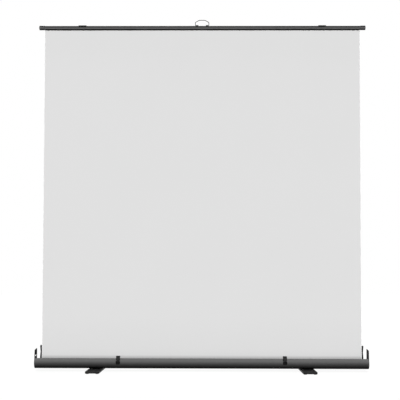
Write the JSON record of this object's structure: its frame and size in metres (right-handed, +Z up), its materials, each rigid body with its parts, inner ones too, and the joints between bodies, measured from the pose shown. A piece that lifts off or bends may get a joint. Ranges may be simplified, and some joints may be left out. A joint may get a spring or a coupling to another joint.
{
  "type": "floor-standing projection screen",
  "caption": "Pull-up projection screen: a rounded floor case on swivel feet, a flat pale fabric raised on a round bar by folding arms, with a wire handle and front catches.",
  "frame": {"origin": "on the floor, under the middle of the feet", "axes": "+X to the viewer's right along the screen, +Y away from the viewer, +Z up"},
  "size_m": [2.0896, 0.41, 2.2244],
  "materials": {
    "screen_cloth": "matte",
    "case_aluminium": "dark satin",
    "bar_aluminium": "dark satin",
    "bracket_steel": "black",
    "bright_steel": "zinc",
    "black_plastic": "moulded",
    "pad_rubber": "matte"
  },
  "bodies": {
    "case": {"case_shell": "case_aluminium", "case_end_cap_left": "black_plastic", "case_end_cap_right": "black_plastic", "bar_guide_left": "black_plastic", "bar_guide_right": "black_plastic", "base_bracket_left": "bracket_steel", "base_bracket_right": "bracket_steel", "base_pin_left": "bright_steel", "base_pin_right": "bright_steel", "foot_bolt_left": "bright_steel", "foot_bolt_right": "bright_steel", "foot_spacer_left": "black_plastic", "foot_spacer_right": "black_plastic", "foot_nut_left": "bright_steel", "foot_nut_right": "bright_steel", "latch_base_left": "black_plastic", "latch_base_right": "black_plastic", "latch_pin_left": "bright_steel", "latch_pin_right": "bright_steel", "end_cap_screws_left": "bright_steel", "end_cap_screws_right": "bright_steel", "spring_shaft": "bright_steel", "screen_fabric": "screen_cloth", "bracket_screws": "bright_steel", "guide_screws": "bright_steel"},
    "roller": {"roller_tube": "bar_aluminium", "fabric_wraps": "screen_cloth", "roller_plug_left": "black_plastic", "spring_cartridge": "black_plastic"},
    "left_lower_arm": {"lower_arm_left": "bar_aluminium", "elbow_pin_left": "bright_steel", "elbow_washer_left": "black_plastic"},
    "left_upper_arm": {"upper_arm_left": "bar_aluminium"},
    "right_lower_arm": {"lower_arm_right": "bar_aluminium", "elbow_pin_right": "bright_steel", "elbow_washer_right": "black_plastic"},
    "right_upper_arm": {"upper_arm_right": "bar_aluminium"},
    "top_bar": {"top_bar": "bar_aluminium", "top_bar_cap_left": "black_plastic", "top_bar_cap_right": "black_plastic", "top_bracket_left": "black_plastic", "top_bracket_right": "black_plastic", "top_pin_left": "bright_steel", "top_pin_right": "bright_steel", "top_spacer_left": "bright_steel", "top_spacer_right": "bright_steel", "handle_block_left": "black_plastic", "handle_block_right": "black_plastic", "hem_rod": "bright_steel", "clip_screws": "bright_steel"},
    "handle": {"handle_bail": "bright_steel"},
    "left_foot": {"foot_left": "black_plastic", "foot_pads_left": "pad_rubber"},
    "right_foot": {"foot_right": "black_plastic", "foot_pads_right": "pad_rubber"},
    "left_latch": {"latch_hook_left": "black_plastic"},
    "right_latch": {"latch_hook_right": "black_plastic"}
  },
  "joints": [
    {"name": "fold", "type": "hinge", "parent": "case", "child": "left_lower_arm", "pos_m": [-0.762, 0.0125, 0.0505], "axis": [0, 1, 0], "range_deg": [0, 57.47], "deforming": ["screen_fabric"]},
    {"name": "left_elbow", "type": "hinge", "parent": "left_lower_arm", "child": "left_upper_arm", "pos_m": [-0.098, 0.02, 1.11], "axis": [0, 1, 0], "range_deg": [-114.94, 0]},
    {"name": "left_top_pivot", "type": "hinge", "parent": "left_upper_arm", "child": "top_bar", "pos_m": [-0.762, 0.02, 2.1695], "axis": [0, 1, 0], "range_deg": [0, 57.48]},
    {"name": "right_base_pivot", "type": "hinge", "parent": "case", "child": "right_lower_arm", "pos_m": [0.762, 0.027, 0.0505], "axis": [0, 1, 0], "range_deg": [-57.48, 0]},
    {"name": "right_elbow", "type": "hinge", "parent": "right_lower_arm", "child": "right_upper_arm", "pos_m": [0.098, 0.0345, 1.11], "axis": [0, 1, 0], "range_deg": [0, 114.94]},
    {"name": "roller_spin", "type": "hinge", "parent": "case", "child": "roller", "pos_m": [0, -0.02115, 0.0435], "axis": [1, 0, 0], "range_deg": [-7079, 0]},
    {"name": "left_foot_swivel", "type": "hinge", "parent": "case", "child": "left_foot", "pos_m": [-0.661, 0, 0.008], "axis": [0, 0, 1], "range_deg": [0, 90]},
    {"name": "right_foot_swivel", "type": "hinge", "parent": "case", "child": "right_foot", "pos_m": [0.661, 0, 0.008], "axis": [0, 0, 1], "range_deg": [-90, 0]},
    {"name": "left_latch_swing", "type": "hinge", "parent": "case", "child": "left_latch", "pos_m": [-0.52, -0.05169, 0.0624], "axis": [1, 0, 0], "range_deg": [-18.85, 70]},
    {"name": "right_latch_swing", "type": "hinge", "parent": "case", "child": "right_latch", "pos_m": [0.52, -0.05169, 0.0624], "axis": [1, 0, 0], "range_deg": [-18.85, 70]},
    {"name": "handle_swing", "type": "hinge", "parent": "top_bar", "child": "handle", "pos_m": [0, -0.006, 2.1883], "axis": [1, 0, 0], "range_deg": [-90, 90]}
  ],
  "couplings": [
    {"joint": "left_elbow", "follows": "fold", "ratio": -2},
    {"joint": "left_top_pivot", "follows": "fold", "ratio": 1},
    {"joint": "right_base_pivot", "follows": "fold", "ratio": -1},
    {"joint": "right_elbow", "follows": "fold", "ratio": 2},
    {"joint": "roller_spin", "follows": "fold", "ratio": -123.1}
  ]
}
